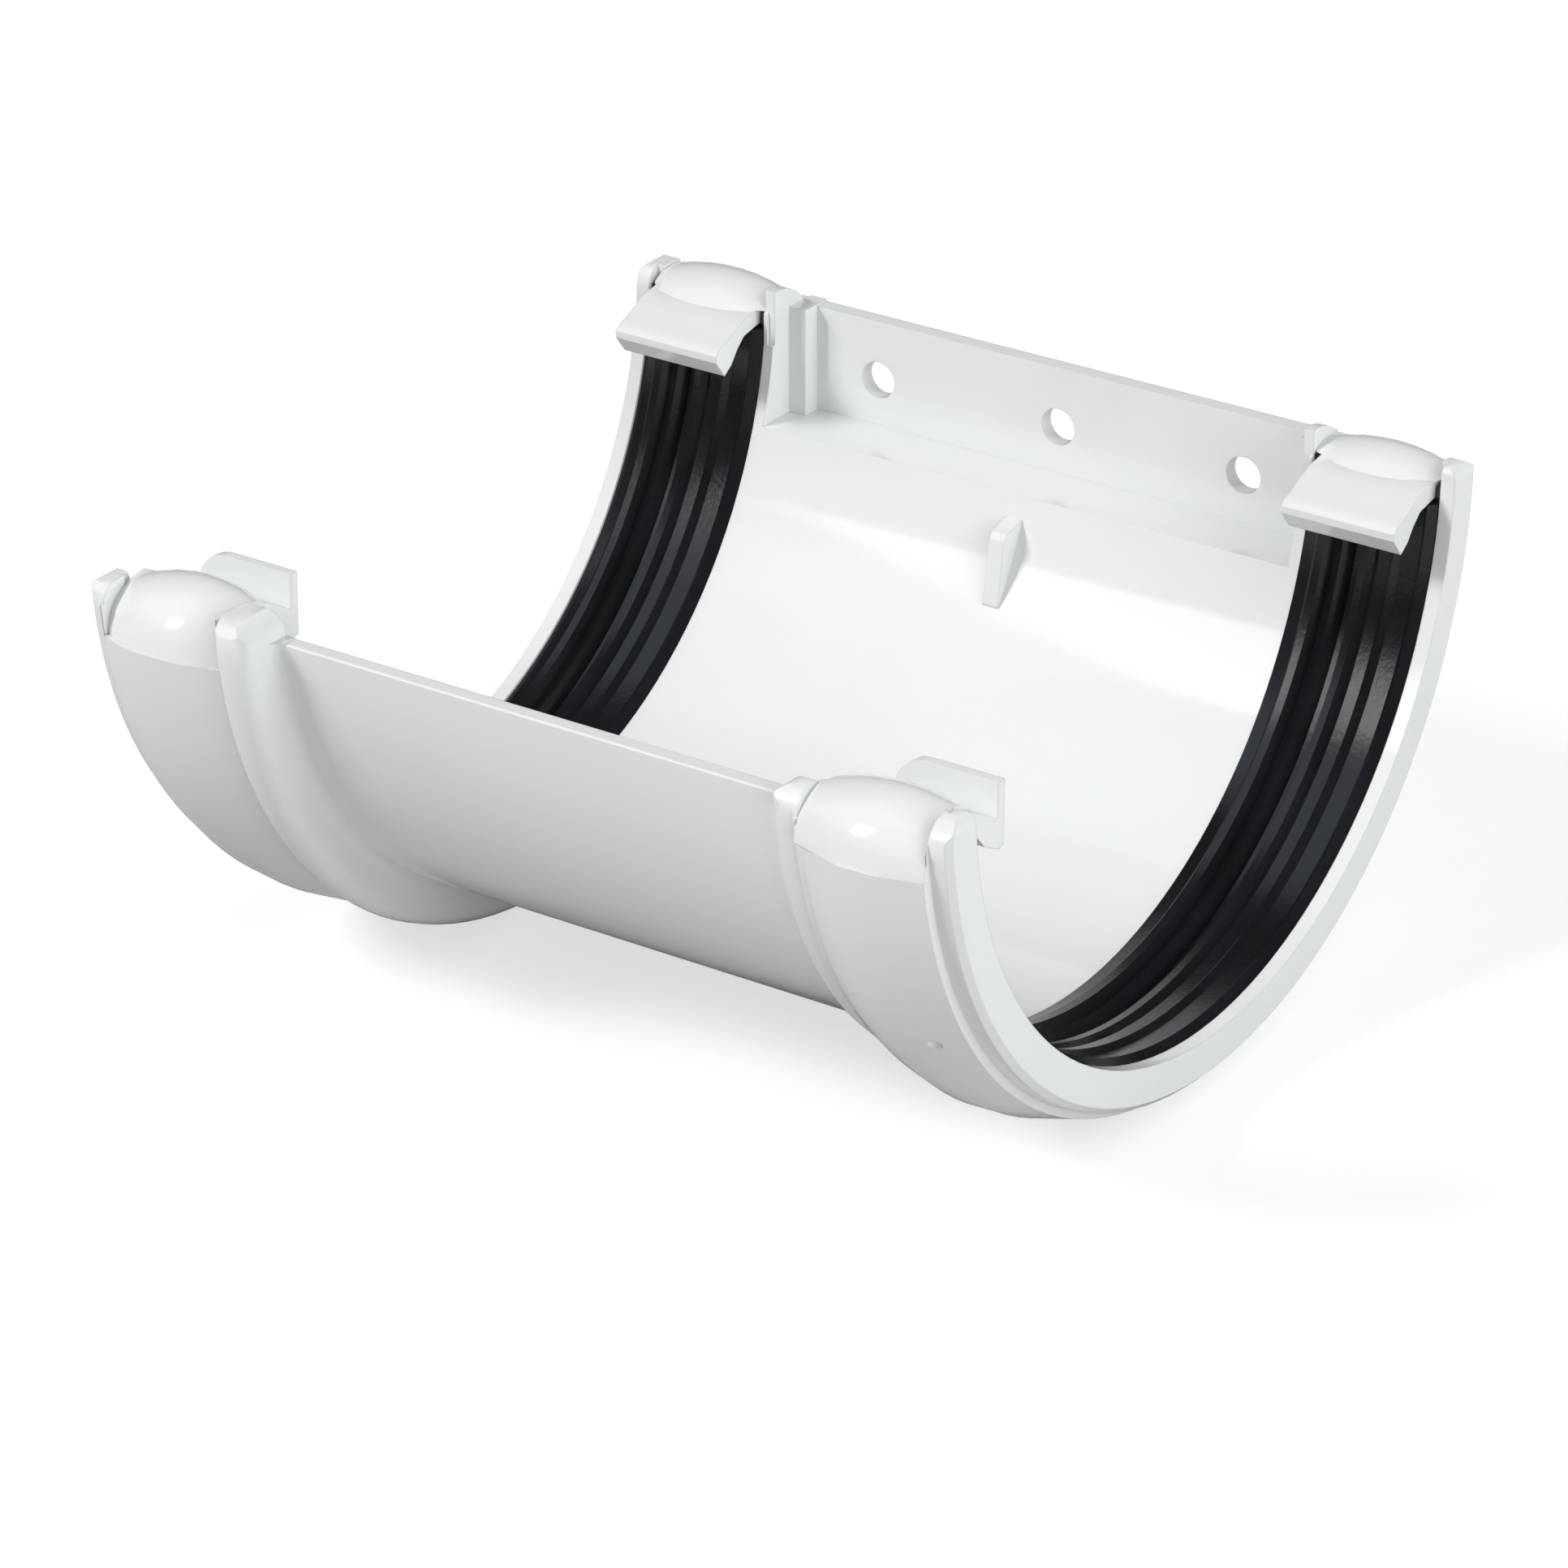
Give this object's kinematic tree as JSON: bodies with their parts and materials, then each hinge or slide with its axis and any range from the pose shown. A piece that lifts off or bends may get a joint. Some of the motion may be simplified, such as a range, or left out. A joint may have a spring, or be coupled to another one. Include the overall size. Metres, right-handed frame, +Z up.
{
  "type": "gutter union",
  "caption": "Half-round gutter union that joins two gutter ends in sealed snap-in sockets and screws to a fascia board through its rear plate.",
  "frame": {"origin": "centre of the middle screw hole on the back face of the fascia plate", "axes": "+X along the gutter, +Y out of the back face towards the fascia board, +Z up"},
  "size_m": [0.128, 0.1303, 0.0658],
  "materials": {
    "white_upvc": "smooth gloss white moulding",
    "black_rubber": "satin black ribbed rubber"
  },
  "bodies": {
    "root": {"union_body": "white_upvc", "seal_left": "black_rubber", "seal_right": "black_rubber"}
  },
  "joints": []
}
